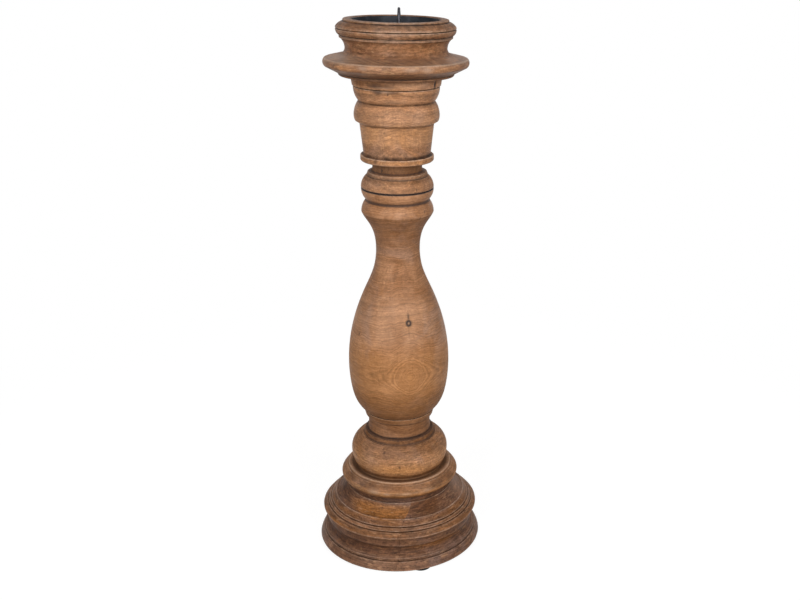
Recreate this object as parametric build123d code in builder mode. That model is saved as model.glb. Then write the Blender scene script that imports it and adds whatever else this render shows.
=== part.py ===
from build123d import *
import math
import os

os.makedirs("parts", exist_ok=True)

# Turned wooden candle stand, millimetres, +Z up, origin on the floor under the middle of the base.
# The front of the stand faces -Y. Every radius is measured from the turning axis.

# Overall
BASE_DIAMETER = 138.6

# Glides under the base, and their nails
GLIDE_DIAMETER = 18.0
GLIDE_THICKNESS = 3.4
GLIDE_ROUNDING = 1.2
GLIDE_COUNT = 4
GLIDE_INSET = 11.3
FIRST_GLIDE_ANGLE = -73.0
NAIL_DIAMETER = 2.0
NAIL_DEPTH_IN_WOOD = 12.0
NAIL_HEAD_DIAMETER = 6.0
NAIL_HEAD_THICKNESS = 1.2
NAIL_HEAD_RECESS = 0.8
NAIL_CLEARANCE = 0.03

# Base: plinth, cove, bead and dish
PLINTH_BAND_HEIGHT = 7.1
PLINTH_BAND_BULGE = 0.4
PLINTH_BOTTOM_CHAMFER = 0.6
PLINTH_TOP_RADIUS = 66.0
PLINTH_STEP_RADIUS = 65.3
PLINTH_STEP_HEIGHT = 1.9
PLINTH_LEDGE_RISE = 1.5
BASE_COVE_BOTTOM_RADIUS = 63.8
BASE_COVE_TOP_RADIUS = 63.2
BASE_COVE_HEIGHT = 9.1
BASE_COVE_DEPTH = 2.6
BASE_FILLET_HEIGHT = 7.5
BASE_BEAD_RADIUS = 66.1
BASE_BEAD_EDGE = 0.7
BASE_BEAD_NOSE_HEIGHT = 2.2
BASE_BEAD_TOP_RADIUS = 62.9
BASE_BEAD_CROWN = 0.1
BASE_BEAD_HEIGHT = 4.85
DISH_BAND_RADIUS = 60.3
DISH_BAND_RISE = 1.9
DISH_RIDGE_RADIUS = 55.6
DISH_RIDGE_RISE = 3.8
DISH_RIDGE_STEP = 0.9
DISH_COVE_TOP_RADIUS = 44.8
DISH_COVE_HEIGHT = 9.05
DISH_COVE_DEPTH = 1.7
BASE_NECK_RADIUS = 44.3
BASE_NECK_HEIGHT = 4.9
SEAM_OFFSET = 28.7
SEAM_ANGLE = -28.0

# Fine turned grooves
GROOVE_WIDTH = 0.9
GROOVE_DEPTH = 1.0

# Pedestal: ring, torus and fillet
FOOT_RING_RADIUS = 49.5
FOOT_RING_NOSE_RISE = 5.2
FOOT_RING_SHOULDER_RADIUS = 48.9
FOOT_RING_SHOULDER_RISE = 1.7
FOOT_RING_END_RADIUS = 44.9
FOOT_RING_CROWN = 0.15
FOOT_RING_HEIGHT = 11.6
FOOT_RIDGE_RADIUS = 44.1
FOOT_RIDGE_RISE = 1.8
FOOT_RIDGE_WIDTH = 1.2
FOOT_HOLLOW_DEPTH = 1.0
TORUS_RADIUS = 40.7
TORUS_BOTTOM_RADIUS = 36.6
TORUS_TOP_RADIUS = 31.2
TORUS_BELLY_RISE = 13.4
TORUS_TOP_RISE = 13.7
PEDESTAL_FILLET_RADIUS = 30.2
PEDESTAL_FILLET_TOP_RADIUS = 28.7
PEDESTAL_FILLET_HEIGHT = 4.3

# Baluster: collar, vase, neck, top ring and lower half of the knop
COLLAR_RADIUS = 26.5
COLLAR_HOLLOW = 0.7
COLLAR_HEIGHT = 13.7
VASE_STEP_RADIUS = 28.2
VASE_STEP_TOP_RADIUS = 29.5
VASE_STEP_HEIGHT = 4.7
VASE_FOOT_RADIUS = 30.1
VASE_FOOT_RISE = 0.7
VASE_CURVE_RADIUS = 36.2
VASE_CURVE_RISE = 8.5
LOWER_BELLY_RADIUS = 39.75
LOWER_BELLY_RISE = 12.6
BELLY_RADIUS = 41.45
BELLY_RISE = 18.4
SHOULDER_RADIUS = 37.1
SHOULDER_RISE = 37.0
WAIST_RADIUS = 27.2
WAIST_RISE = 28.0
THROAT_RADIUS = 19.8
THROAT_RISE = 18.0
NECK_RADIUS = 17.6
NECK_RISE = 17.7
FLARE_START_RADIUS = 18.9
FLARE_START_RISE = 10.6
FLARE_RADIUS = 22.9
FLARE_RISE = 9.6
FLARE_END_RADIUS = 26.9
FLARE_END_RISE = 6.1
TOP_RING_RADIUS = 28.75
TOP_RING_EDGE_RISE = 3.5
TOP_RING_HEIGHT = 8.5
TOP_RING_END_RADIUS = 25.9
TOP_RING_BULGE = 0.7
KNOP_NOTCH_RADIUS = 25.4
KNOP_NOTCH_HEIGHT = 2.4
KNOP_START_RADIUS = 25.8
KNOP_RADIUS = 28.7
KNOP_LOWER_HEIGHT = 8.25

# Capital: upper half of the knop, flange, tapered drum, ring and two beads
KNOP_UPPER_HEIGHT = 9.75
KNOP_END_RADIUS = 24.6
KNOP_RING_RADIUS = 24.2
KNOP_RING_TOP_RADIUS = 23.2
KNOP_RING_HEIGHT = 3.2
CAPITAL_NECK_RADIUS = 19.5
CAPITAL_NECK_RISE = 3.4
CAPITAL_NECK_TOP_RADIUS = 20.8
CAPITAL_NECK_TOP_RISE = 5.3
CAPITAL_FLANGE_RADIUS = 28.7
CAPITAL_FLANGE_HEIGHT = 4.7
CAPITAL_FLANGE_EDGE = 0.8
DRUM_BOTTOM_RADIUS = 26.1
DRUM_TOP_RADIUS = 28.9
DRUM_HEIGHT = 24.6
CAPITAL_RING_EDGE_RADIUS = 32.3
CAPITAL_RING_EDGE_RISE = 2.1
CAPITAL_RING_RADIUS = 33.15
CAPITAL_RING_BELLY_RISE = 3.9
CAPITAL_RING_TOP_RISE = 10.3
CAPITAL_RING_END_RADIUS = 30.1
CAPITAL_NOTCH_RADIUS = 29.5
CAPITAL_NOTCH_HEIGHT = 1.5
LOWER_BEAD_RADIUS = 33.3
LOWER_BEAD_START_RADIUS = 30.0
LOWER_BEAD_HEIGHT = 10.2
UPPER_BEAD_START_RADIUS = 34.0
UPPER_BEAD_RADIUS = 34.75
UPPER_BEAD_HEIGHT = 7.4
UPPER_BEAD_EDGE = 0.8

# Candle cup: flange, cove, split torus and rim
CUP_STEP_RADIUS = 44.2
CUP_STEP_HEIGHT = 2.3
CUP_STEP_EDGE = 0.6
FLANGE_UNDER_RADIUS = 45.4
FLANGE_UNDER_RISE = 4.7
FLANGE_RADIUS = 55.65
FLANGE_EDGE_HEIGHT = 5.7
FLANGE_EDGE_ROUNDING = 1.1
FLANGE_TOP_INNER_RADIUS = 42.3
FLANGE_TOP_RISE = 2.9
CUP_COVE_RADIUS = 38.8
CUP_COVE_RISE = 4.4
CUP_COVE_TOP_RADIUS = 42.5
CUP_COVE_TOP_RISE = 7.7
CUP_FILLET_RADIUS = 43.0
CUP_FILLET_HEIGHT = 2.3
SPLIT_TORUS_RADIUS = 45.6
SPLIT_TORUS_START_RADIUS = 43.7
SPLIT_TORUS_LOWER_HEIGHT = 4.1
SPLIT_TORUS_SHOULDER_RADIUS = 44.9
SPLIT_TORUS_SHOULDER_RISE = 1.6
SPLIT_TORUS_UPPER_HEIGHT = 4.5
SPLIT_TORUS_TOP_RADIUS = 40.5
SPLIT_TORUS_CROWN = 0.4
RIM_RADIUS = 40.0
RIM_HEIGHT = 1.9
RIM_EDGE = 0.5

# Drip pan let into the cup
RECESS_RADIUS = 34.0
RECESS_DEPTH = 14.8
RECESS_MOUTH_EDGE = 0.4
PAN_CLEARANCE = 0.4
PAN_WALL = 0.8
PAN_LIP_DROP = 0.5
PAN_CORNER_ROUNDING = 2.0

# Pricket spike, pushed up through the pan a little to the right of the axis, with its head below
SPIKE_OFFSET = 2.2
SPIKE_LENGTH = 22.35
SPIKE_FOOT_DIAMETER = 5.0
SPIKE_TIP_DIAMETER = 2.0
SPIKE_CLEARANCE = 0.03
SPIKE_HEAD_DIAMETER = 8.0
SPIKE_HEAD_FLAT_DIAMETER = 4.4
SPIKE_HEAD_HEIGHT = 1.8
SPIKE_POCKET_CLEARANCE = 1.0

# Dowels that join the turned pieces, glued in; each reach is the part of the length above the joint
FOOT_DOWEL_DIAMETER = 20.0
FOOT_DOWEL_LENGTH = 46.0
FOOT_DOWEL_REACH = 18.0
STEM_DOWEL_DIAMETER = 16.0
STEM_DOWEL_LENGTH = 48.0
STEM_DOWEL_REACH = 30.0
CAPITAL_DOWEL_DIAMETER = 14.0
CAPITAL_DOWEL_LENGTH = 48.0
CAPITAL_DOWEL_REACH = 24.0
CUP_DOWEL_DIAMETER = 16.0
CUP_DOWEL_LENGTH = 38.0
CUP_DOWEL_REACH = 14.0
DOWEL_CHAMFER = 1.5
GLUE_CLEARANCE = 0.1
DOWEL_END_GAP = 0.8

# Heights where one piece stands on the next, and where the glides stand
glide_circle = BASE_DIAMETER / 2 - GLIDE_INSET
base_bottom = GLIDE_THICKNESS
cove_bottom = (
    base_bottom + PLINTH_BAND_HEIGHT + GROOVE_WIDTH + PLINTH_STEP_HEIGHT + PLINTH_LEDGE_RISE
)
bead_bottom = cove_bottom + BASE_COVE_HEIGHT + BASE_FILLET_HEIGHT
dish_bottom = bead_bottom + BASE_BEAD_HEIGHT + 2 * GROOVE_WIDTH + DISH_BAND_RISE
dish_cove_bottom = dish_bottom + DISH_RIDGE_RISE + DISH_RIDGE_STEP
base_top = dish_cove_bottom + DISH_COVE_HEIGHT + BASE_NECK_HEIGHT

torus_bottom = base_top + FOOT_RING_HEIGHT + FOOT_RIDGE_RISE
torus_top = torus_bottom + TORUS_BELLY_RISE + TORUS_TOP_RISE
pedestal_top = torus_top + GROOVE_WIDTH / 2 + PEDESTAL_FILLET_HEIGHT

vase_bottom = pedestal_top + COLLAR_HEIGHT + VASE_STEP_HEIGHT + GROOVE_WIDTH
belly_height = vase_bottom + VASE_FOOT_RISE + VASE_CURVE_RISE + LOWER_BELLY_RISE + BELLY_RISE
neck_height = belly_height + SHOULDER_RISE + WAIST_RISE + THROAT_RISE + NECK_RISE
flare_height = neck_height + FLARE_START_RISE + FLARE_RISE
ring_edge_height = flare_height + FLARE_END_RISE + TOP_RING_EDGE_RISE
knop_bottom = ring_edge_height + TOP_RING_HEIGHT + KNOP_NOTCH_HEIGHT
baluster_top = knop_bottom + KNOP_LOWER_HEIGHT

knop_ring_bottom = baluster_top + KNOP_UPPER_HEIGHT
capital_neck_bottom = knop_ring_bottom + KNOP_RING_HEIGHT
flange_bottom = capital_neck_bottom + CAPITAL_NECK_RISE + CAPITAL_NECK_TOP_RISE
drum_bottom = flange_bottom + CAPITAL_FLANGE_HEIGHT
capital_ring_bottom = drum_bottom + DRUM_HEIGHT
capital_ring_belly = capital_ring_bottom + CAPITAL_RING_EDGE_RISE + CAPITAL_RING_BELLY_RISE
lower_bead_bottom = capital_ring_belly + CAPITAL_RING_TOP_RISE + CAPITAL_NOTCH_HEIGHT
upper_bead_bottom = lower_bead_bottom + LOWER_BEAD_HEIGHT + GROOVE_WIDTH
capital_top = upper_bead_bottom + UPPER_BEAD_HEIGHT

cup_flange_bottom = capital_top + CUP_STEP_HEIGHT
cup_flange_edge = cup_flange_bottom + FLANGE_UNDER_RISE
cup_flange_top = cup_flange_edge + FLANGE_EDGE_HEIGHT
cup_cove_bottom = cup_flange_top + FLANGE_TOP_RISE
cup_fillet_bottom = cup_cove_bottom + CUP_COVE_RISE + CUP_COVE_TOP_RISE
split_torus_bottom = cup_fillet_bottom + CUP_FILLET_HEIGHT
cup_groove = split_torus_bottom + SPLIT_TORUS_LOWER_HEIGHT
rim_bottom = cup_groove + GROOVE_WIDTH + SPLIT_TORUS_UPPER_HEIGHT
cup_top = rim_bottom + RIM_HEIGHT

recess_floor = cup_top - RECESS_DEPTH
pan_top = cup_top - PAN_LIP_DROP
pan_floor_top = recess_floor + PAN_WALL
spike_tip = pan_floor_top + SPIKE_LENGTH


def bored(diameter, joint_height, depth):
    """Cuts a blind dowel hole from a joint: a positive depth goes up, a negative one down."""
    with BuildSketch(Plane.XY.offset(joint_height)) as hole:
        Circle(diameter / 2 + GLUE_CLEARANCE)
    extrude(hole.sketch, amount=depth, mode=Mode.SUBTRACT)


def turned_dowel(diameter, bottom, length):
    """Adds a round dowel with chamfered ends, standing on the given height."""
    with BuildSketch(Plane.XY.offset(bottom)) as end:
        Circle(diameter / 2)
    extrude(end.sketch, amount=length)
    chamfer(edges().filter_by(GeomType.CIRCLE), DOWEL_CHAMFER)


def glide_places():
    """Locations of the glides on their circle."""
    return PolarLocations(glide_circle, GLIDE_COUNT, start_angle=FIRST_GLIDE_ANGLE)


with BuildSketch(Plane.XZ) as base_outline:
    with BuildLine():
        base_radius = BASE_DIAMETER / 2
        band_foot = base_bottom + PLINTH_BOTTOM_CHAMFER
        band_top = base_bottom + PLINTH_BAND_HEIGHT
        step_bottom = band_top + GROOVE_WIDTH
        step_top = step_bottom + PLINTH_STEP_HEIGHT
        cove_top = cove_bottom + BASE_COVE_HEIGHT
        bead_nose = bead_bottom + BASE_BEAD_NOSE_HEIGHT
        bead_top = bead_bottom + BASE_BEAD_HEIGHT
        band_low = bead_top + GROOVE_WIDTH
        band_high = band_low + DISH_BAND_RISE
        ridge = dish_bottom + DISH_RIDGE_RISE
        dish_top = dish_cove_bottom + DISH_COVE_HEIGHT
        Polyline(
            (0, base_top),
            (0, base_bottom),
            (base_radius - PLINTH_BOTTOM_CHAMFER, base_bottom),
            (base_radius, band_foot),
        )
        SagittaArc((base_radius, band_foot), (PLINTH_TOP_RADIUS, band_top), -PLINTH_BAND_BULGE)
        Polyline(
            (PLINTH_TOP_RADIUS, band_top),
            (PLINTH_STEP_RADIUS - GROOVE_DEPTH, band_top + GROOVE_WIDTH / 2),
            (PLINTH_STEP_RADIUS, step_bottom),
            (PLINTH_STEP_RADIUS, step_top),
            (BASE_COVE_BOTTOM_RADIUS, cove_bottom),
        )
        SagittaArc(
            (BASE_COVE_BOTTOM_RADIUS, cove_bottom),
            (BASE_COVE_TOP_RADIUS, cove_top),
            BASE_COVE_DEPTH,
        )
        Polyline(
            (BASE_COVE_TOP_RADIUS, cove_top),
            (BASE_COVE_TOP_RADIUS, bead_bottom),
            (BASE_BEAD_RADIUS - BASE_BEAD_EDGE, bead_bottom),
        )
        Polyline(
            (BASE_BEAD_RADIUS - BASE_BEAD_EDGE, bead_bottom),
            (BASE_BEAD_RADIUS, bead_bottom + BASE_BEAD_EDGE),
            (BASE_BEAD_RADIUS, bead_nose - BASE_BEAD_EDGE),
            (BASE_BEAD_RADIUS - BASE_BEAD_EDGE, bead_nose),
        )
        SagittaArc(
            (BASE_BEAD_RADIUS - BASE_BEAD_EDGE, bead_nose),
            (BASE_BEAD_TOP_RADIUS, bead_top),
            -BASE_BEAD_CROWN,
        )
        Polyline(
            (BASE_BEAD_TOP_RADIUS, bead_top),
            (BASE_BEAD_TOP_RADIUS - 2 * GROOVE_DEPTH, bead_top + GROOVE_WIDTH / 4),
            (BASE_BEAD_TOP_RADIUS - GROOVE_DEPTH, band_low),
            (DISH_BAND_RADIUS, band_high),
            (DISH_BAND_RADIUS - 2 * GROOVE_DEPTH, band_high + GROOVE_WIDTH / 4),
            (DISH_BAND_RADIUS - GROOVE_DEPTH, dish_bottom),
            (DISH_RIDGE_RADIUS, ridge),
            (DISH_RIDGE_RADIUS - DISH_RIDGE_STEP / 2, dish_cove_bottom),
            (DISH_RIDGE_RADIUS - 2 * DISH_RIDGE_STEP, dish_cove_bottom),
        )
        SagittaArc(
            (DISH_RIDGE_RADIUS - 2 * DISH_RIDGE_STEP, dish_cove_bottom),
            (DISH_COVE_TOP_RADIUS, dish_top),
            DISH_COVE_DEPTH,
        )
        Polyline(
            (DISH_COVE_TOP_RADIUS, dish_top),
            (BASE_NECK_RADIUS, dish_top),
            (BASE_NECK_RADIUS, base_top),
            (0, base_top),
        )
    make_face()


def turned_base(start_angle):
    """Adds the whole turned base, with its dowel hole and the nail holes, turned from that angle."""
    revolve(base_outline.sketch.rotate(Axis.Z, start_angle), axis=Axis.Z)
    bored(FOOT_DOWEL_DIAMETER, base_top, FOOT_DOWEL_REACH - FOOT_DOWEL_LENGTH)
    with BuildSketch(Plane.XY.offset(base_bottom)) as nail_holes:
        with glide_places():
            Circle(NAIL_DIAMETER / 2 + NAIL_CLEARANCE)
    extrude(nail_holes.sketch, amount=NAIL_DEPTH_IN_WOOD, mode=Mode.SUBTRACT)


seam_plane = Plane.YZ.rotated((0, 0, SEAM_ANGLE)).offset(SEAM_OFFSET)

with BuildPart() as base_main_board:
    turned_base(SEAM_ANGLE)
    with BuildSketch(seam_plane):
        Rectangle(2 * BASE_DIAMETER, 2 * BASE_DIAMETER)
    extrude(amount=BASE_DIAMETER, mode=Mode.SUBTRACT)

with BuildPart() as base_side_board:
    turned_base(SEAM_ANGLE + 180)
    with BuildSketch(seam_plane):
        Rectangle(2 * BASE_DIAMETER, 2 * BASE_DIAMETER)
    extrude(amount=-2 * BASE_DIAMETER, mode=Mode.SUBTRACT)

with BuildPart() as pedestal:
    with BuildSketch(Plane.XZ):
        with BuildLine():
            ring_nose = base_top + FOOT_RING_NOSE_RISE
            ring_top = base_top + FOOT_RING_HEIGHT
            torus_belly = torus_bottom + TORUS_BELLY_RISE
            fillet_bottom = torus_top + GROOVE_WIDTH / 2
            Polyline((0, pedestal_top), (0, base_top), (BASE_NECK_RADIUS, base_top))
            TangentArc(
                (FOOT_RING_RADIUS, ring_nose), (BASE_NECK_RADIUS, base_top), tangent=(0, -1)
            )
            TangentArc(
                (FOOT_RING_RADIUS, ring_nose),
                (FOOT_RING_SHOULDER_RADIUS, ring_nose + FOOT_RING_SHOULDER_RISE),
                tangent=(0, 1),
            )
            SagittaArc(
                (FOOT_RING_SHOULDER_RADIUS, ring_nose + FOOT_RING_SHOULDER_RISE),
                (FOOT_RING_END_RADIUS, ring_top),
                -FOOT_RING_CROWN,
            )
            Polyline(
                (FOOT_RING_END_RADIUS, ring_top),
                (FOOT_RIDGE_RADIUS, ring_top),
                (FOOT_RIDGE_RADIUS - FOOT_RIDGE_WIDTH / 2, torus_bottom),
                (FOOT_RIDGE_RADIUS - FOOT_RIDGE_WIDTH, torus_bottom),
                (TORUS_BOTTOM_RADIUS, torus_bottom - FOOT_HOLLOW_DEPTH),
                (TORUS_BOTTOM_RADIUS, torus_bottom),
            )
            TangentArc(
                (TORUS_RADIUS, torus_belly), (TORUS_BOTTOM_RADIUS, torus_bottom), tangent=(0, -1)
            )
            TangentArc((TORUS_RADIUS, torus_belly), (TORUS_TOP_RADIUS, torus_top), tangent=(0, 1))
            Polyline(
                (TORUS_TOP_RADIUS, torus_top),
                (PEDESTAL_FILLET_RADIUS - GROOVE_DEPTH / 2, torus_top),
                (PEDESTAL_FILLET_RADIUS, fillet_bottom),
                (PEDESTAL_FILLET_TOP_RADIUS, pedestal_top - GROOVE_WIDTH / 2),
                (PEDESTAL_FILLET_TOP_RADIUS - GROOVE_WIDTH / 2, pedestal_top),
                (0, pedestal_top),
            )
        make_face()
    revolve(axis=Axis.Z)
    bored(FOOT_DOWEL_DIAMETER, base_top, FOOT_DOWEL_REACH + DOWEL_END_GAP)
    bored(STEM_DOWEL_DIAMETER, pedestal_top, STEM_DOWEL_REACH - STEM_DOWEL_LENGTH)

with BuildPart() as baluster:
    with BuildSketch(Plane.XZ):
        with BuildLine():
            collar_top = pedestal_top + COLLAR_HEIGHT
            step_top = collar_top + VASE_STEP_HEIGHT
            vase_foot = vase_bottom + VASE_FOOT_RISE
            ring_top = ring_edge_height + TOP_RING_HEIGHT
            shoulder_height = belly_height + SHOULDER_RISE
            waist_height = shoulder_height + WAIST_RISE
            Polyline((0, baluster_top), (0, pedestal_top), (COLLAR_RADIUS, pedestal_top))
            SagittaArc((COLLAR_RADIUS, pedestal_top), (COLLAR_RADIUS, collar_top), COLLAR_HOLLOW)
            Polyline(
                (COLLAR_RADIUS, collar_top),
                (VASE_STEP_RADIUS, collar_top),
                (VASE_STEP_TOP_RADIUS, step_top),
                (VASE_STEP_TOP_RADIUS - GROOVE_DEPTH, step_top + GROOVE_WIDTH / 2),
                (VASE_FOOT_RADIUS - GROOVE_DEPTH / 2, vase_bottom),
                (VASE_FOOT_RADIUS, vase_foot),
            )
            Spline(
                (VASE_FOOT_RADIUS, vase_foot),
                (VASE_CURVE_RADIUS, vase_foot + VASE_CURVE_RISE),
                (LOWER_BELLY_RADIUS, belly_height - BELLY_RISE),
                (BELLY_RADIUS, belly_height),
                (SHOULDER_RADIUS, shoulder_height),
                (WAIST_RADIUS, waist_height),
                (THROAT_RADIUS, waist_height + THROAT_RISE),
                (NECK_RADIUS, neck_height),
                (FLARE_START_RADIUS, neck_height + FLARE_START_RISE),
                (FLARE_RADIUS, flare_height),
                (FLARE_END_RADIUS, flare_height + FLARE_END_RISE),
                (TOP_RING_RADIUS, ring_edge_height),
            )
            SagittaArc(
                (TOP_RING_RADIUS, ring_edge_height),
                (TOP_RING_END_RADIUS, ring_top),
                -TOP_RING_BULGE,
            )
            Polyline(
                (TOP_RING_END_RADIUS, ring_top),
                (KNOP_NOTCH_RADIUS, ring_top + KNOP_NOTCH_HEIGHT / 2),
                (KNOP_START_RADIUS, knop_bottom),
            )
            TangentArc(
                (KNOP_RADIUS, baluster_top - GROOVE_WIDTH / 2),
                (KNOP_START_RADIUS, knop_bottom),
                tangent=(0, -1),
            )
            Polyline(
                (KNOP_RADIUS, baluster_top - GROOVE_WIDTH / 2),
                (KNOP_RADIUS - GROOVE_DEPTH, baluster_top),
                (0, baluster_top),
            )
        make_face()
    revolve(axis=Axis.Z)
    bored(STEM_DOWEL_DIAMETER, pedestal_top, STEM_DOWEL_REACH + DOWEL_END_GAP)
    bored(CAPITAL_DOWEL_DIAMETER, baluster_top, CAPITAL_DOWEL_REACH - CAPITAL_DOWEL_LENGTH)

with BuildPart() as capital:
    with BuildSketch(Plane.XZ):
        with BuildLine():
            neck_mid = capital_neck_bottom + CAPITAL_NECK_RISE
            ring_edge = capital_ring_bottom + CAPITAL_RING_EDGE_RISE
            ring_top = capital_ring_belly + CAPITAL_RING_TOP_RISE
            bead_top = lower_bead_bottom + LOWER_BEAD_HEIGHT
            Polyline(
                (0, capital_top),
                (0, baluster_top),
                (KNOP_RADIUS - GROOVE_DEPTH, baluster_top),
                (KNOP_RADIUS, baluster_top + GROOVE_WIDTH / 2),
            )
            TangentArc(
                (KNOP_RADIUS, baluster_top + GROOVE_WIDTH / 2),
                (KNOP_END_RADIUS, knop_ring_bottom),
                tangent=(0, 1),
            )
            Polyline(
                (KNOP_END_RADIUS, knop_ring_bottom),
                (KNOP_RING_RADIUS - GROOVE_DEPTH / 2, knop_ring_bottom + GROOVE_WIDTH / 4),
                (KNOP_RING_RADIUS, knop_ring_bottom + GROOVE_WIDTH / 2),
                (KNOP_RING_TOP_RADIUS, capital_neck_bottom),
            )
            TangentArc(
                (CAPITAL_NECK_RADIUS, neck_mid),
                (KNOP_RING_TOP_RADIUS, capital_neck_bottom),
                tangent=(0, -1),
            )
            TangentArc(
                (CAPITAL_NECK_RADIUS, neck_mid),
                (CAPITAL_NECK_TOP_RADIUS, flange_bottom),
                tangent=(0, 1),
            )
            Polyline(
                (CAPITAL_NECK_TOP_RADIUS, flange_bottom),
                (CAPITAL_FLANGE_RADIUS - CAPITAL_FLANGE_EDGE, flange_bottom),
                (CAPITAL_FLANGE_RADIUS, flange_bottom + CAPITAL_FLANGE_EDGE),
                (CAPITAL_FLANGE_RADIUS, drum_bottom - CAPITAL_FLANGE_EDGE / 2),
                (CAPITAL_FLANGE_RADIUS - CAPITAL_FLANGE_EDGE / 2, drum_bottom),
                (DRUM_BOTTOM_RADIUS, drum_bottom),
                (DRUM_TOP_RADIUS, capital_ring_bottom),
                (CAPITAL_RING_EDGE_RADIUS, ring_edge),
            )
            TangentArc(
                (CAPITAL_RING_RADIUS, capital_ring_belly),
                (CAPITAL_RING_EDGE_RADIUS, ring_edge),
                tangent=(0, -1),
            )
            TangentArc(
                (CAPITAL_RING_RADIUS, capital_ring_belly),
                (CAPITAL_RING_END_RADIUS, ring_top),
                tangent=(0, 1),
            )
            Polyline(
                (CAPITAL_RING_END_RADIUS, ring_top),
                (CAPITAL_NOTCH_RADIUS, ring_top + CAPITAL_NOTCH_HEIGHT / 2),
                (LOWER_BEAD_START_RADIUS, lower_bead_bottom),
            )
            TangentArc(
                (LOWER_BEAD_RADIUS, bead_top),
                (LOWER_BEAD_START_RADIUS, lower_bead_bottom),
                tangent=(0, -1),
            )
            Polyline(
                (LOWER_BEAD_RADIUS, bead_top),
                (LOWER_BEAD_RADIUS - GROOVE_DEPTH, bead_top + GROOVE_WIDTH / 2),
                (UPPER_BEAD_START_RADIUS, upper_bead_bottom),
            )
            TangentArc(
                (UPPER_BEAD_RADIUS, capital_top - UPPER_BEAD_EDGE),
                (UPPER_BEAD_START_RADIUS, upper_bead_bottom),
                tangent=(0, -1),
            )
            Polyline(
                (UPPER_BEAD_RADIUS, capital_top - UPPER_BEAD_EDGE),
                (UPPER_BEAD_RADIUS - UPPER_BEAD_EDGE, capital_top),
                (0, capital_top),
            )
        make_face()
    revolve(axis=Axis.Z)
    bored(CAPITAL_DOWEL_DIAMETER, baluster_top, CAPITAL_DOWEL_REACH + DOWEL_END_GAP)
    bored(CUP_DOWEL_DIAMETER, capital_top, CUP_DOWEL_REACH - CUP_DOWEL_LENGTH)

with BuildPart() as candle_cup:
    with BuildSketch(Plane.XZ):
        with BuildLine():
            cove_mid = cup_cove_bottom + CUP_COVE_RISE
            upper_half = cup_groove + GROOVE_WIDTH
            Polyline(
                (0, recess_floor),
                (0, capital_top),
                (CUP_STEP_RADIUS - CUP_STEP_EDGE, capital_top),
                (CUP_STEP_RADIUS, capital_top + CUP_STEP_EDGE),
                (CUP_STEP_RADIUS, cup_flange_bottom),
                (FLANGE_UNDER_RADIUS, cup_flange_bottom),
                (FLANGE_RADIUS - FLANGE_EDGE_ROUNDING, cup_flange_edge),
            )
            ThreePointArc(
                (FLANGE_RADIUS - FLANGE_EDGE_ROUNDING, cup_flange_edge),
                (FLANGE_RADIUS, cup_flange_edge + FLANGE_EDGE_HEIGHT / 2),
                (FLANGE_RADIUS - FLANGE_EDGE_ROUNDING, cup_flange_top),
            )
            Line(
                (FLANGE_RADIUS - FLANGE_EDGE_ROUNDING, cup_flange_top),
                (FLANGE_TOP_INNER_RADIUS, cup_cove_bottom),
            )
            TangentArc(
                (CUP_COVE_RADIUS, cove_mid), (FLANGE_TOP_INNER_RADIUS, cup_cove_bottom), tangent=(0, -1)
            )
            TangentArc(
                (CUP_COVE_RADIUS, cove_mid), (CUP_COVE_TOP_RADIUS, cup_fillet_bottom), tangent=(0, 1)
            )
            Polyline(
                (CUP_COVE_TOP_RADIUS, cup_fillet_bottom),
                (CUP_FILLET_RADIUS, cup_fillet_bottom),
                (CUP_FILLET_RADIUS, split_torus_bottom - GROOVE_WIDTH / 2),
                (CUP_FILLET_RADIUS - GROOVE_DEPTH / 2, split_torus_bottom),
                (SPLIT_TORUS_START_RADIUS, split_torus_bottom),
            )
            TangentArc(
                (SPLIT_TORUS_RADIUS, cup_groove),
                (SPLIT_TORUS_START_RADIUS, split_torus_bottom),
                tangent=(0, -1),
            )
            Polyline(
                (SPLIT_TORUS_RADIUS, cup_groove),
                (SPLIT_TORUS_RADIUS - GROOVE_DEPTH, cup_groove + GROOVE_WIDTH / 2),
                (SPLIT_TORUS_RADIUS, upper_half),
            )
            TangentArc(
                (SPLIT_TORUS_RADIUS, upper_half),
                (SPLIT_TORUS_SHOULDER_RADIUS, upper_half + SPLIT_TORUS_SHOULDER_RISE),
                tangent=(0, 1),
            )
            SagittaArc(
                (SPLIT_TORUS_SHOULDER_RADIUS, upper_half + SPLIT_TORUS_SHOULDER_RISE),
                (SPLIT_TORUS_TOP_RADIUS, rim_bottom),
                -SPLIT_TORUS_CROWN,
            )
            Polyline(
                (SPLIT_TORUS_TOP_RADIUS, rim_bottom),
                (RIM_RADIUS, rim_bottom),
                (RIM_RADIUS, cup_top - RIM_EDGE),
                (RIM_RADIUS - RIM_EDGE, cup_top),
                (RECESS_RADIUS + RECESS_MOUTH_EDGE, cup_top),
                (RECESS_RADIUS, cup_top - RECESS_MOUTH_EDGE),
                (RECESS_RADIUS, recess_floor),
                (0, recess_floor),
            )
        make_face()
    revolve(axis=Axis.Z)
    bored(CUP_DOWEL_DIAMETER, capital_top, CUP_DOWEL_REACH + DOWEL_END_GAP)
    with BuildSketch(Plane.XY.offset(recess_floor)):
        with Locations((SPIKE_OFFSET, 0)):
            Circle(SPIKE_HEAD_DIAMETER / 2 + SPIKE_POCKET_CLEARANCE)
    extrude(amount=-(SPIKE_HEAD_HEIGHT + SPIKE_POCKET_CLEARANCE), mode=Mode.SUBTRACT)

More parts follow.
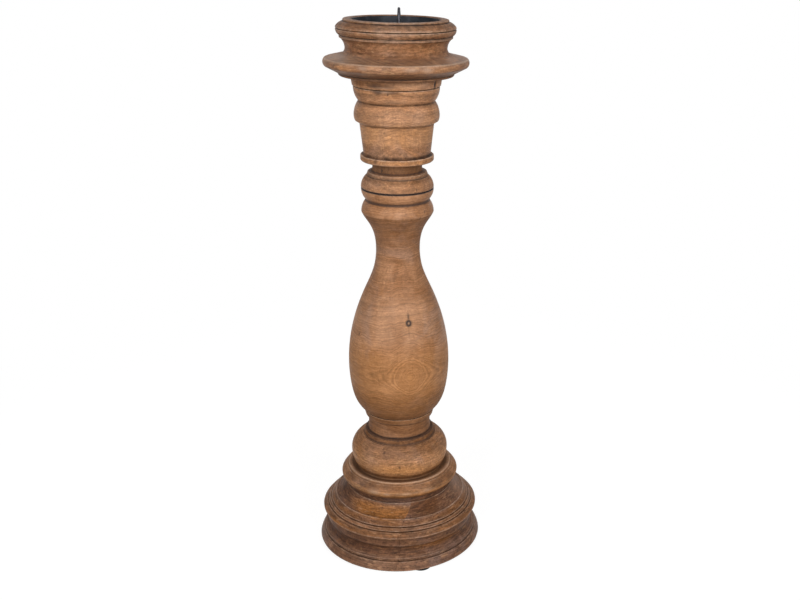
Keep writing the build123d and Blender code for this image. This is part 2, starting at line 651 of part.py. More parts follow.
with BuildPart() as drip_pan:
    pan_radius = RECESS_RADIUS - PAN_CLEARANCE
    with BuildSketch(Plane.XY.offset(recess_floor)):
        Circle(pan_radius)
    extrude(amount=pan_top - recess_floor)
    fillet(edges().group_by(Axis.Z)[0], PAN_CORNER_ROUNDING)
    offset(amount=-PAN_WALL, openings=faces().sort_by(Axis.Z)[-1])
    with BuildSketch(Plane.XY.offset(recess_floor)):
        with Locations((SPIKE_OFFSET, 0)):
            Circle(SPIKE_FOOT_DIAMETER / 2 + SPIKE_CLEARANCE)
    extrude(amount=PAN_WALL, mode=Mode.SUBTRACT)

with BuildPart() as pricket_spike:
    with BuildSketch(Plane.XZ.move(Location((SPIKE_OFFSET, 0, 0)))):
        with BuildLine():
            tip_radius = SPIKE_TIP_DIAMETER / 2
            tip_start = spike_tip - tip_radius
            head_bottom = recess_floor - SPIKE_HEAD_HEIGHT
            Polyline(
                (0, spike_tip),
                (0, head_bottom),
                (SPIKE_HEAD_FLAT_DIAMETER / 2, head_bottom),
            )
            TangentArc(
                (SPIKE_HEAD_DIAMETER / 2, recess_floor),
                (SPIKE_HEAD_FLAT_DIAMETER / 2, head_bottom),
                tangent=(0, -1),
            )
            Polyline(
                (SPIKE_HEAD_DIAMETER / 2, recess_floor),
                (SPIKE_FOOT_DIAMETER / 2, recess_floor),
                (SPIKE_FOOT_DIAMETER / 2, pan_floor_top),
                (tip_radius, tip_start),
            )
            TangentArc((0, spike_tip), (tip_radius, tip_start), tangent=(1, 0))
        make_face()
    revolve(axis=Axis((SPIKE_OFFSET, 0, 0), (0, 0, 1)))

with BuildPart() as foot_dowel:
    turned_dowel(
        FOOT_DOWEL_DIAMETER, base_top + FOOT_DOWEL_REACH - FOOT_DOWEL_LENGTH, FOOT_DOWEL_LENGTH
    )

with BuildPart() as stem_dowel:
    turned_dowel(
        STEM_DOWEL_DIAMETER, pedestal_top + STEM_DOWEL_REACH - STEM_DOWEL_LENGTH, STEM_DOWEL_LENGTH
    )

with BuildPart() as capital_dowel:
    turned_dowel(
        CAPITAL_DOWEL_DIAMETER,
        baluster_top + CAPITAL_DOWEL_REACH - CAPITAL_DOWEL_LENGTH,
        CAPITAL_DOWEL_LENGTH,
    )

with BuildPart() as cup_dowel:
    turned_dowel(
        CUP_DOWEL_DIAMETER, capital_top + CUP_DOWEL_REACH - CUP_DOWEL_LENGTH, CUP_DOWEL_LENGTH
    )

with BuildPart() as glide_nails:
    head_top = NAIL_HEAD_RECESS + NAIL_HEAD_THICKNESS
    with BuildSketch(Plane.XY.offset(NAIL_HEAD_RECESS)):
        with glide_places():
            Circle(NAIL_HEAD_DIAMETER / 2)
    extrude(amount=NAIL_HEAD_THICKNESS)
    with BuildSketch(Plane.XY.offset(head_top)):
        with glide_places():
            Circle(NAIL_DIAMETER / 2)
    extrude(amount=base_bottom + NAIL_DEPTH_IN_WOOD - head_top)

nodes = {
    "base_main_board": base_main_board,
    "base_side_board": base_side_board,
    "pedestal": pedestal,
    "baluster": baluster,
    "capital": capital,
    "candle_cup": candle_cup,
    "drip_pan": drip_pan,
    "pricket_spike": pricket_spike,
    "foot_dowel": foot_dowel,
    "stem_dowel": stem_dowel,
    "capital_dowel": capital_dowel,
    "cup_dowel": cup_dowel,
    "glide_nails": glide_nails,
}

for number in range(GLIDE_COUNT):
    angle = math.radians(FIRST_GLIDE_ANGLE + 360.0 / GLIDE_COUNT * number)
    place = (glide_circle * math.cos(angle), glide_circle * math.sin(angle))
    with BuildPart() as glide:
        with BuildSketch():
            with Locations(place):
                Circle(GLIDE_DIAMETER / 2)
        extrude(amount=GLIDE_THICKNESS)
        fillet(edges().group_by(Axis.Z)[0], GLIDE_ROUNDING)
        with BuildSketch():
            with Locations(place):
                Circle(NAIL_HEAD_DIAMETER / 2 + NAIL_CLEARANCE)
        extrude(amount=NAIL_HEAD_RECESS + NAIL_HEAD_THICKNESS, mode=Mode.SUBTRACT)
        with BuildSketch():
            with Locations(place):
                Circle(NAIL_DIAMETER / 2 + NAIL_CLEARANCE)
        extrude(amount=GLIDE_THICKNESS, mode=Mode.SUBTRACT)
    nodes[f"glide_{number + 1}"] = glide

for name, piece in nodes.items():
    piece.part.label = name
    export_step(piece.part, f"parts/{name}.step")

print(f"joints at {base_top:.2f} {pedestal_top:.2f} {baluster_top:.2f} {capital_top:.2f}")
print(f"cup rim at {cup_top:.2f}, pan floor at {pan_floor_top:.2f}, tip at {spike_tip:.2f}")
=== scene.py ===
import heapq
import math

import bmesh
import bpy
import numpy as np
from mathutils import Matrix, Vector


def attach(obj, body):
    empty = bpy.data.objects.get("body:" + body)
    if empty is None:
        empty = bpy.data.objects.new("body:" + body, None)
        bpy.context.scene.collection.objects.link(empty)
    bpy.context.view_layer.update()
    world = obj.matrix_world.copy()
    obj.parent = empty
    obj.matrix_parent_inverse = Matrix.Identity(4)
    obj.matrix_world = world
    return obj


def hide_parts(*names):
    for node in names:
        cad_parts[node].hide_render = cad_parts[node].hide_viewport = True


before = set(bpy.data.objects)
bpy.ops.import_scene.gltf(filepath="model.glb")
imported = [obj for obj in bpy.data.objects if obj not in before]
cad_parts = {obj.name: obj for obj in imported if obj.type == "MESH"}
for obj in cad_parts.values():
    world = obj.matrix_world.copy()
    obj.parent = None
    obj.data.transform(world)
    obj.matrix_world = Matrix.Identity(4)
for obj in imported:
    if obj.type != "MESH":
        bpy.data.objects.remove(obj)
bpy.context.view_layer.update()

MM = 0.001
STEPS_ROUND = 360
HOLE_LIMIT = 14.0
CORNER_ROUNDING = 0.22
FINE_STEP = 0.16
WIDE_STEP = 0.75
SMOOTH_TURN = math.radians(16.0)
GROOVE_BALL = 2.1
GROOVE_DEPTH = 0.38
SHADE_BALL = 7.0
SHADE_DEPTH = 3.0
SAME_PLACE = 0.01
AXIS_LIMIT = 1.0
INNER_STEP = 4.0
EDGE_BLUR = 0.30
HOLLOW_BLUR = 0.34
SHARP_BEND = 0.12
FULL_WEAR_BEND = 1.2
CHIP_DEPTH = 0.30
CHIP_START = 0.12
SEAM_ANGLE = -28.0
SEAM_OFFSET = 28.7
SEAM_ACROSS = (math.cos(math.radians(SEAM_ANGLE)), math.sin(math.radians(SEAM_ANGLE)), 0.0)
CUP_RECESS_RADIUS = 34.0
CUP_RECESS_FLOOR = 426.85
POCKET_OFFSET = 2.2
POCKET_RADIUS = 5.0
POCKET_DEPTH = 2.8


# Turned shapes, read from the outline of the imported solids

def node_points(*nodes):
    """Radius and height in mm of every corner of the nodes, and the corner pairs along their turned faces."""
    corners, pairs, count = [], [], 0
    for node in nodes:
        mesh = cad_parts[node].data
        flat = np.empty(len(mesh.vertices) * 3)
        mesh.vertices.foreach_get("co", flat)
        points = flat.reshape(-1, 3) / MM
        on_seam = np.abs(points @ np.array(SEAM_ACROSS) - SEAM_OFFSET) < SAME_PLACE
        ends = np.empty(len(mesh.edges) * 2, dtype=np.int32)
        mesh.edges.foreach_get("vertices", ends)
        ends = ends.reshape(-1, 2)
        corners.append(np.column_stack((np.hypot(points[:, 0], points[:, 1]), points[:, 2])))
        pairs.append(ends[~on_seam[ends].all(axis=1)] + count)
        count += len(points)
    return np.round(np.vstack(corners), 2), np.vstack(pairs)


def trace(points, pairs):
    """The outer outline from the foot to the inner edge of the top, in the shortest steps that there are."""
    beside = {}
    for first, second in pairs:
        a, b = tuple(points[first]), tuple(points[second])
        if a != b and min(a[0], b[0]) > HOLE_LIMIT:
            beside.setdefault(a, set()).add(b)
            beside.setdefault(b, set()).add(a)
    lowest, highest = min(z for r, z in beside), max(z for r, z in beside)
    start = max(point for point in beside if point[1] == lowest)
    goal = min(point for point in beside if point[1] == highest)
    came_from, best, waiting = {start: None}, {start: 0.0}, [(0.0, start)]
    while waiting:
        cost, point = heapq.heappop(waiting)
        if point == goal:
            break
        for other in sorted(beside[point]):
            new_cost = cost + math.dist(point, other) ** 2
            if new_cost < best.get(other, math.inf):
                best[other], came_from[other] = new_cost, point
                heapq.heappush(waiting, (new_cost, other))
    outline = [goal]
    while came_from[outline[-1]] is not None:
        outline.append(came_from[outline[-1]])
    return np.array(outline[::-1])


def bores(points, bottom, top):
    """The blind dowel holes as (radius, end height), below and above; None where there is none."""
    inner = points[(points[:, 0] < HOLE_LIMIT) & (points[:, 0] > AXIS_LIMIT)]
    faces = [face for face in (bottom, top) if (np.abs(inner[:, 1] - face) < SAME_PLACE).any()]
    found = []
    for face in (bottom, top):
        if face not in faces:
            found.append(None)
            continue
        nearest = np.array([min(faces, key=lambda other: abs(other - z)) for z in inner[:, 1]])
        hole = inner[nearest == face]
        radius = hole[np.abs(hole[:, 1] - face) < SAME_PLACE, 0].max()
        wall = hole[np.abs(hole[:, 0] - radius) < SAME_PLACE]
        found.append((radius, wall[np.argmax(np.abs(wall[:, 1] - face)), 1]))
    return found


def spaced(outline, step):
    """Points along the outline at about equal steps, its corners kept."""
    runs = [outline[:1]]
    for start, end in zip(outline[:-1], outline[1:]):
        count = max(1, int(math.ceil(math.dist(start, end) / step)))
        share = np.arange(1, count + 1)[:, None] / count
        runs.append(start + (end - start) * share)
    return np.vstack(runs)


def curved(outline, step):
    """Points along the outline at about equal steps, smooth through its corners of under SMOOTH_TURN."""
    chord = np.diff(outline, axis=0)
    length = np.hypot(chord[:, 0], chord[:, 1])
    heading = chord / length[:, None]
    runs = [outline[:1]]
    for index in range(len(chord)):
        tangents = []
        for beside in (index - 1, index + 1):
            tangent = heading[index]
            if 0 <= beside < len(chord) and heading[beside] @ heading[index] > math.cos(SMOOTH_TURN):
                blend = heading[beside] / length[beside] + heading[index] / length[index]
                tangent = blend / np.hypot(*blend)
            tangents.append(tangent * length[index])
        share = np.linspace(0, 1, max(1, math.ceil(length[index] / step)) + 1)[1:, None]
        runs.append(outline[index] * (2 * share ** 3 - 3 * share ** 2 + 1)
                    + outline[index + 1] * (3 * share ** 2 - 2 * share ** 3)
                    + tangents[0] * (share ** 3 - 2 * share ** 2 + share)
                    + tangents[1] * (share ** 3 - share ** 2))
    return np.vstack(runs)


def blurred(values, reach, step):
    """Values along the outline, averaged with a bell curve of the given reach."""
    half = max(1, int(math.ceil(3 * reach / step)))
    bell = np.exp(-0.5 * (np.arange(-half, half + 1) * step / reach) ** 2)
    padded = np.pad(values, half, mode="edge")
    return np.convolve(padded, bell / bell.sum(), mode="valid")


def outward(points):
    """Unit normals of an outline that runs upward, pointing away from the wood."""
    run = np.gradient(points, axis=0)
    run = run / np.maximum(np.hypot(run[:, 0], run[:, 1]), 1e-9)[:, None]
    return np.column_stack((run[:, 1], -run[:, 0]))


def worn_outline(outline):
    """The outline with its corners rounded, and how much each point is a proud edge, more on up-facing edges
    as a painted highlight.
    """
    dense = curved(outline, FINE_STEP)
    soft = np.column_stack([blurred(dense[:, k], CORNER_ROUNDING, FINE_STEP) for k in (0, 1)])
    soft[0], soft[-1] = dense[0], dense[-1]
    run = np.diff(soft, axis=0)
    heading = np.unwrap(np.arctan2(run[:, 1], run[:, 0]))
    length = np.hypot(run[:, 0], run[:, 1])
    bend = np.zeros(len(soft))
    bend[1:-1] = np.diff(heading) / np.maximum(0.5 * (length[1:] + length[:-1]), 0.02)
    proud = blurred(np.clip(bend, 0, 4), EDGE_BLUR, FINE_STEP)
    hollow = blurred(np.clip(-bend, 0, 4), HOLLOW_BLUR, FINE_STEP)
    facing_up = outward(soft)[:, 1]
    # Edge wear is real on proud edges; its bias toward up-facing edges is a painted highlight, where light
    # from above catches them.
    edge = proud * np.clip(0.55 + 0.9 * facing_up, 0.12, 1.0)
    keep = [0]
    travelled = 0.0
    for index in range(1, len(soft)):
        travelled += length[index - 1]
        sharp = max(proud[index], hollow[index]) > SHARP_BEND
        if travelled >= (FINE_STEP * 1.4 if sharp else WIDE_STEP) or index == len(soft) - 1:
            keep.append(index)
            travelled = 0.0
    return soft[keep], np.clip(edge[keep] / FULL_WEAR_BEND, 0, 1)


def cavity(stack, ball):
    """How far in mm each point of the stack's outline stays out of reach of a ball rolled along it."""
    centres = stack + ball * outward(stack)
    free = [np.hypot(stack[:, 0] - r, stack[:, 1] - z).min() > 0.99 * ball for r, z in centres]
    allowed = centres[np.array(free)]
    reach = [np.hypot(allowed[:, 0] - r, allowed[:, 1] - z).min() for r, z in stack]
    return np.maximum(np.array(reach) - ball, 0.0)


def ripple(angle, height, seed):
    """A smooth uneven value between -1 and 1 over a turned surface."""
    total = np.zeros(np.broadcast(angle, height).shape)
    generator = np.random.default_rng(seed)
    for round_count, per_mm in ((3, 0.11), (7, 0.23), (13, 0.41), (23, 0.37), (37, 0.61), (59, 0.83)):
        phase = generator.uniform(0, 2 * math.pi, 2)
        swirl = np.sin(per_mm * height + phase[1])
        total += np.sin(round_count * angle + phase[0] + 2.0 * swirl) / 6
    return total


def lathe(name, before, outline, after, seed, marks=()):
    """A closed turned mesh. Points before and after the outline close it on the axis, and the third
    value of a point, where it has one, moves its ring along +X."""
    body, edge, groove, shade = outline
    fore = spaced(np.asarray(before + [tuple(body[0])]), INNER_STEP)[:-1]
    tail = [tuple(point) + (0.0,) * (3 - len(point)) for point in [tuple(body[-1])] + after]
    aft = spaced(np.asarray(tail), INNER_STEP)[1:]
    profile = np.vstack((fore, body, aft[:, :2]))[1:-1]
    shift = np.concatenate((np.zeros(len(fore) + len(body)), aft[:, 2]))[1:-1, None]
    plain_fore, plain_aft = np.zeros(len(fore)), np.zeros(len(aft))

    def all_round(values):
        column = np.concatenate((plain_fore, values, plain_aft))[1:-1]
        return np.repeat(column[:, None], STEPS_ROUND, axis=1)

    angle = np.arange(STEPS_ROUND) * 2 * math.pi / STEPS_ROUND
    radius = np.repeat(profile[:, :1], STEPS_ROUND, axis=1)
    height = np.repeat(profile[:, 1:], STEPS_ROUND, axis=1)
    turn = np.repeat(angle[None, :], len(profile), axis=0)
    wear_and_highlight = all_round(edge)
    uneven = ripple(turn, height, seed)
    radius = radius - wear_and_highlight * np.clip(uneven - CHIP_START, 0, 1) * CHIP_DEPTH
    # Mesh layers: edge wear with a painted highlight on up-facing edges, dirt with painted shade in the
    # grooves, and painted shade in the hollows.
    layers = {"wear_and_highlight": wear_and_highlight * (0.65 + 0.7 * uneven), "dirt_and_shade": all_round(groove), "shade": all_round(shade)}
    for title in MARK_LAYERS:
        layers[title] = np.zeros_like(radius)
    for mark in marks:
        cover, depth, amounts = mark(turn, height, profile[:, :1])
        radius = radius - depth * cover
        for title, amount in amounts.items():
            layers[title] = np.maximum(layers[title], amount * cover)
    rings = np.stack((radius * np.cos(turn) + shift, radius * np.sin(turn), height), axis=-1)
    rings = rings.reshape(-1, 3)
    poles = ((0.0, 0.0, before[0][1]), (tail[-1][2], 0.0, tail[-1][1]))
    rows, last = len(profile), len(rings)
    here = np.arange(rows - 1)[:, None] * STEPS_ROUND + np.arange(STEPS_ROUND)[None, :]
    following = np.roll(here, -1, axis=1)
    quads = np.stack((here, following, following + STEPS_ROUND, here + STEPS_ROUND), axis=-1)
    quads = quads.reshape(-1, 4)
    first_row, last_row = np.arange(STEPS_ROUND), (rows - 1) * STEPS_ROUND + np.arange(STEPS_ROUND)
    foot = np.stack((np.full(STEPS_ROUND, last), np.roll(first_row, -1), first_row), axis=-1)
    head = np.stack((np.full(STEPS_ROUND, last + 1), last_row, np.roll(last_row, -1)), axis=-1)
    mesh = bpy.data.meshes.new(name)
    mesh.vertices.add(last + 2)
    mesh.vertices.foreach_set("co", (np.vstack((rings, poles)) * MM).ravel())
    corners = np.concatenate((quads.ravel(), foot.ravel(), head.ravel()))
    sizes = np.concatenate((np.full(len(quads), 4), np.full(2 * STEPS_ROUND, 3)))
    starts = np.concatenate(([0], np.cumsum(sizes)[:-1]))
    mesh.loops.add(len(corners))
    mesh.loops.foreach_set("vertex_index", corners.astype(np.int32))
    mesh.polygons.add(len(sizes))
    mesh.polygons.foreach_set("loop_start", starts.astype(np.int32))
    mesh.polygons.foreach_set("use_smooth", np.ones(len(sizes), dtype=bool))
    mesh.update(calc_edges=True)
    mesh.validate()
    for title, values in layers.items():
        layer = mesh.attributes.new(title, "FLOAT", "POINT")
        layer.data.foreach_set("value", np.concatenate((values.ravel(), (0, 0))).astype(np.float32))
    piece = bpy.data.objects.new(name, mesh)
    bpy.context.scene.collection.objects.link(piece)
    return piece


# Marks in the wood: each gives its cover over the surface, its depth in mm and what it paints

# Mark layers: real stains, pale marks mostly as painted highlights and sheen, and warm tone with a few
# painted glints.
MARK_LAYERS = ("stain", "bloom", "warm")


def spot(angle, height, across, along, depth=0.0, hard=2.0, lean=0.0, **amounts):
    """An oval mark at an angle in degrees and a height in mm, leaning by mm across per mm up."""
    def mark(turn, level, radius):
        away = (turn - math.radians(angle) + math.pi) % (2 * math.pi) - math.pi
        rise = level - height
        share = ((away * radius - lean * rise) / across) ** 2 + (rise / along) ** 2
        return np.exp(-share ** hard), depth, amounts
    return mark


def band(low, high, soft, **amounts):
    """A mark all round the piece between two heights in mm, fading out over soft mm."""
    def mark(turn, level, radius):
        rise = np.clip((level - low) / soft + 0.5, 0, 1)
        fall = np.clip((high - level) / soft + 0.5, 0, 1)
        return (rise * rise * (3 - 2 * rise)) * (fall * fall * (3 - 2 * fall)), 0.0, amounts
    return mark


def ring_mark(angle, height, across, along, thickness, depth=0.0, **amounts):
    """A small oval ring."""
    def mark(turn, level, radius):
        away = (turn - math.radians(angle) + math.pi) % (2 * math.pi) - math.pi
        share = np.sqrt((away * radius / across) ** 2 + ((level - height) / along) ** 2)
        return np.exp(-((share - 1.0) / thickness) ** 2), depth, amounts
    return mark


# Materials

WHITE = (1.0, 1.0, 1.0, 1.0)
# Near-black for dirt and painted shade packed in the grooves.
DIRT_AND_SHADE_COLOUR = (0.016, 0.009, 0.006, 1.0)
STAIN_COLOUR = (0.020, 0.016, 0.017, 1.0)


class Graph:
    """A small helper that adds nodes to one material."""

    def __init__(self, name):
        self.material = bpy.data.materials.new(name)
        self.material.use_nodes = True
        self.tree = self.material.node_tree
        self.tree.nodes.clear()

    def add(self, kind, inputs=None, **settings):
        node = self.tree.nodes.new(kind)
        for key, value in settings.items():
            setattr(node, key, value)
        for key, value in (inputs or {}).items():
            if isinstance(value, bpy.types.NodeSocket):
                self.tree.links.new(value, node.inputs[key])
            else:
                node.inputs[key].default_value = value
        return node

    def math(self, operation, first, second=0.5, third=0.5, clamp=False):
        inputs = {0: first, 1: second, 2: third}
        return self.add("ShaderNodeMath", inputs, operation=operation, use_clamp=clamp).outputs[0]

    def vector(self, operation, first, second):
        return self.add("ShaderNodeVectorMath", {0: first, 1: second}, operation=operation).outputs["Vector"]

    def mix(self, share, first, second, blend="MIX"):
        inputs = {0: share, 6: first, 7: second}
        node = self.add("ShaderNodeMix", inputs, data_type="RGBA", blend_type=blend, clamp_factor=True)
        return node.outputs[2]

    def noise(self, place, scale, detail=3.0, rough=0.5, swirl=0.0):
        inputs = {"Vector": place, "Scale": scale, "Detail": detail, "Roughness": rough, "Distortion": swirl}
        return self.add("ShaderNodeTexNoise", inputs).outputs["Fac"]

    def noise_line(self, place, scale, detail=2.0, rough=0.5):
        inputs = {"W": place, "Scale": scale, "Detail": detail, "Roughness": rough}
        return self.add("ShaderNodeTexNoise", inputs, noise_dimensions="1D").outputs["Fac"]

    def sway(self, place, scale, detail, reach):
        """A small uneven shift in metres, which makes lines waver."""
        inputs = {"Vector": place, "Scale": scale, "Detail": detail}
        colour = self.add("ShaderNodeTexNoise", inputs).outputs["Color"]
        centred = self.vector("SUBTRACT", colour, (0.5, 0.5, 0.5))
        return self.vector("MULTIPLY", centred, (reach, reach, reach))

    def spun(self, place, along, scale, detail=3.0, rough=0.6):
        """Noise in streaks round the turning axis; the smaller along is, the longer they are."""
        flat = self.vector("MULTIPLY", place, (1.0, 1.0, 0.0))
        unit = self.vector("NORMALIZE", flat, (0.0, 0.0, 0.0))
        circle = self.vector("MULTIPLY", unit, (along, along, along))
        level = self.vector("MULTIPLY", place, (0.0, 0.0, 1.0))
        out = self.add("ShaderNodeVectorMath", {0: flat}, operation="LENGTH").outputs["Value"]
        inputs = {"Vector": self.vector("ADD", circle, level), "W": out, "Scale": scale, "Detail": detail,
                  "Roughness": rough}
        return self.add("ShaderNodeTexNoise", inputs, noise_dimensions="4D").outputs["Fac"]

    def span(self, value, low, high, to_low=0.0, to_high=1.0):
        inputs = {0: value, 1: low, 2: high, 3: to_low, 4: to_high}
        node = self.add("ShaderNodeMapRange", inputs, interpolation_type="SMOOTHSTEP", clamp=True)
        return node.outputs[0]

    def attribute(self, title):
        return self.add("ShaderNodeAttribute", attribute_name=title).outputs["Fac"]

    def output(self, shader):
        self.add("ShaderNodeOutputMaterial", {"Surface": shader})
        return self.material


def wood(name, tones, eye, sweep=14.0, pitch=2.3, fibre=(1.0, 1.0, 0.12), patch=(0.0, 0.0, 0.0), figure=1.0,
         broad=1.0, lay=0.0, grit=1.0, ticking=0.4, scoring=1.0, grime_and_shade=1.0):
    """Turned, stained and waxed wood. The growth lines run level and bend round an eye in the figure.
    The strengths are figure for all growth lines, broad for the wide ones among them, grit for the fine
    speckle, ticking for the upright ticks, scoring for the turning lines and grime for dirt and painted shade
    in grooves."""
    graph = Graph(name)
    place = graph.add("ShaderNodeTexCoord").outputs["Object"]
    shifted = graph.vector("ADD", place, patch)
    wander = graph.sway(shifted, 45.0, 3.0, 0.010)
    ruffle = graph.sway(shifted, 210.0, 2.0, 0.0022)
    bent = graph.vector("ADD", graph.vector("ADD", place, wander), ruffle)
    local = graph.vector("SUBTRACT", bent, [value * MM for value in eye])
    axes = graph.add("ShaderNodeSeparateXYZ", {0: local}).outputs
    aside = graph.math("TANH", graph.math("DIVIDE", axes["X"], sweep * MM))
    aside = graph.math("MULTIPLY", aside, 1.35 * sweep * MM)
    reach = graph.math("SQRT", graph.math("ADD", graph.math("MULTIPLY", axes["Z"], axes["Z"]),
                                          graph.math("MULTIPLY", aside, aside)))
    broad_lines = graph.noise_line(reach, 1.0 / (pitch * 1.5 * MM), 1.0)
    fine_lines = graph.noise_line(reach, 1.0 / (pitch * 0.45 * MM), 2.0, 0.6)
    stretch = [1.0 / share for share in fibre]
    run = {"Vector": bent, "Rotation": (0.0, 0.0, math.radians(lay)), "Scale": stretch}
    fibre_place = graph.add("ShaderNodeMapping", run, vector_type="TEXTURE").outputs[0]
    pores = graph.noise(fibre_place, 900.0, 2.0, 0.6)
    streaks = graph.noise(fibre_place, 380.0, 3.0, 0.6)
    speckle = graph.noise(shifted, 720.0, 2.0, 0.7)
    dash = graph.spun(place, 0.009, 850.0, 3.0, 0.65)
    turning = graph.spun(place, 0.0016, 1000.0, 3.0, 0.7)
    cloud = graph.noise(shifted, 34.0, 3.0, 0.55, 0.4)
    tint = graph.noise(graph.vector("ADD", shifted, (0.31, 0.17, 0.43)), 52.0, 3.0, 0.6, 0.6)
    ashen = graph.noise(graph.vector("ADD", shifted, (0.71, 0.37, 0.13)), 26.0, 4.0, 0.6, 0.8)
    ticks = graph.span(graph.noise(graph.vector("ADD", shifted, (0.13, 0.57, 0.29)), 40.0, 2.0), 0.46, 0.60)
    colour = graph.mix(graph.span(cloud, 0.32, 0.68), tones["dark"], tones["mid"])
    colour = graph.mix(graph.span(tint, 0.40, 0.70, 0.0, 0.9), colour, tones["light"])
    colour = graph.mix(graph.span(ashen, 0.46, 0.66, 0.0, 0.8), colour, tones["grey"])
    colour = graph.mix(graph.attribute("warm"), colour, tones["warm"])
    shade = graph.span(broad_lines, 0.25, 0.75, 1.0 - 0.16 * figure * broad, 1.0 + 0.12 * figure * broad)
    grains = (
        (fine_lines, 0.25, 0.75, 0.15 * figure, 0.11 * figure),
        (speckle, 0.28, 0.72, 0.14 * grit, 0.13 * grit),
        (dash, 0.30, 0.70, 0.27 * grit, 0.24 * grit),
        (turning, 0.25, 0.75, 0.14 * scoring, 0.12 * scoring),
    )
    for grain, low, high, darker, lighter in grains:
        shade = graph.math("MULTIPLY", shade, graph.span(grain, low, high, 1.0 - darker, 1.0 + lighter))
    grooved = graph.math("MULTIPLY", graph.span(streaks, 0.36, 0.62, 0.30 * ticking, -0.20 * ticking), ticks)
    shade = graph.math("MULTIPLY", shade, graph.math("SUBTRACT", 1.0, grooved))
    shade = graph.math("MULTIPLY", shade, graph.span(pores, 0.28, 0.40, 1.0 - 0.34 * grit, 1.0))
    tone = graph.add("ShaderNodeCombineColor", {0: shade, 1: shade, 2: shade}).outputs[0]
    colour = graph.mix(1.0, colour, tone, "MULTIPLY")
    flecks = graph.spun(graph.vector("ADD", place, (0.0, 0.0, 0.37)), 0.016, 640.0, 1.0)
    colour = graph.mix(graph.span(flecks, 0.58, 0.74, 0.0, 0.30 * grit), colour, tones["fleck"])
    # Pale rubbed edges: real wear, with a painted highlight on up-facing edges.
    uneven_rub_and_highlight = graph.span(speckle, 0.25, 0.65, 0.45, 1.0)
    rub_and_highlight = graph.math("MULTIPLY", graph.attribute("wear_and_highlight"), uneven_rub_and_highlight, clamp=True)
    colour = graph.mix(graph.math("MULTIPLY", rub_and_highlight, 0.85), colour, tones["rubbed_and_highlight"])
    # Painted highlights and sheen, with a few real pale marks, lighten toward the rubbed tone.
    colour = graph.mix(graph.attribute("bloom"), colour, tones["rubbed_and_highlight"])
    # Painted shade: hollows, parts under rings and down-facing bands darken toward the deep tone. A few real
    # dark patches use it too.
    colour = graph.mix(graph.attribute("shade"), colour, graph.mix(1.0, colour, tones["deep"], "MULTIPLY"))
    # Dirt and painted shade packed into the grooves and narrow hollows, broken up by noise.
    broken = graph.noise(graph.vector("ADD", shifted, (0.19, 0.83, 0.05)), 75.0, 3.0, 0.6)
    packed_dirt_and_shade = graph.math("MULTIPLY", graph.attribute("dirt_and_shade"),
                             graph.span(broken, 0.34, 0.58, 0.45 * grime_and_shade, 1.0 * grime_and_shade), clamp=True)
    colour = graph.mix(packed_dirt_and_shade, colour, DIRT_AND_SHADE_COLOUR)
    colour = graph.mix(graph.attribute("stain"), colour, STAIN_COLOUR)
    mottle = graph.math("ADD", graph.math("MULTIPLY", speckle, 0.5), graph.math("MULTIPLY", cloud, 0.5))
    gloss = graph.span(mottle, 0.32, 0.68, 0.40, 0.60)
    gloss = graph.math("ADD", gloss, graph.math("MULTIPLY", graph.attribute("shade"), 0.20))
    relief = graph.math("ADD", graph.math("MULTIPLY", graph.span(pores, 0.28, 0.42), 0.6),
                        graph.math("MULTIPLY", speckle, 0.5))
    relief = graph.math("ADD", relief, graph.math("MULTIPLY", turning, 0.5))
    relief = graph.math("ADD", relief, graph.math("MULTIPLY", fine_lines, 0.3))
    bump = graph.add("ShaderNodeBump", {"Height": relief, "Strength": 0.45, "Distance": 0.00018}).outputs[0]
    shader = graph.add("ShaderNodeBsdfPrincipled", {"Base Color": colour, "Roughness": gloss, "Normal": bump,
                                                    "Specular IOR Level": 0.12})
    return graph.output(shader.outputs[0])


def coated(name, dark, light, rough_low, rough_high, metallic, scale, specular=0.5):
    """Painted or bare metal and moulded plastic: mottled colour, uneven gloss and a fine texture."""
    graph = Graph(name)
    place = graph.add("ShaderNodeTexCoord").outputs["Object"]
    mottle = graph.noise(place, scale, 4.0, 0.6)
    grain = graph.noise(place, scale * 12.0, 2.0, 0.6)
    colour = graph.mix(graph.span(mottle, 0.35, 0.68), dark, light)
    rough = graph.span(graph.noise(place, scale * 3.0, 3.0, 0.6), 0.3, 0.7, rough_low, rough_high)
    bump = graph.add("ShaderNodeBump", {"Height": grain, "Strength": 0.25, "Distance": 0.00008}).outputs[0]
    shader = graph.add("ShaderNodeBsdfPrincipled", {"Base Color": colour, "Roughness": rough, "Normal": bump,
                                                    "Metallic": metallic, "Specular IOR Level": specular})
    return graph.output(shader.outputs[0])


STEM_TONES = {
    "dark": (0.275, 0.124, 0.053, 1.0),
    "mid": (0.340, 0.164, 0.078, 1.0),
    "light": (0.420, 0.214, 0.110, 1.0),
    "grey": (0.350, 0.196, 0.124, 1.0),
    "warm": (0.430, 0.196, 0.066, 1.0),
    "rubbed_and_highlight": (0.600, 0.410, 0.290, 1.0),
    "fleck": (0.640, 0.360, 0.165, 1.0),
    "deep": (0.38, 0.32, 0.25, 1.0),
}
CUP_TONES = {
    "dark": (0.185, 0.083, 0.039, 1.0),
    "mid": (0.260, 0.122, 0.059, 1.0),
    "light": (0.345, 0.174, 0.090, 1.0),
    "grey": (0.270, 0.160, 0.108, 1.0),
    "warm": (0.370, 0.170, 0.070, 1.0),
    "rubbed_and_highlight": (0.560, 0.400, 0.295, 1.0),
    "fleck": (0.580, 0.335, 0.165, 1.0),
    "deep": (0.36, 0.30, 0.24, 1.0),
}
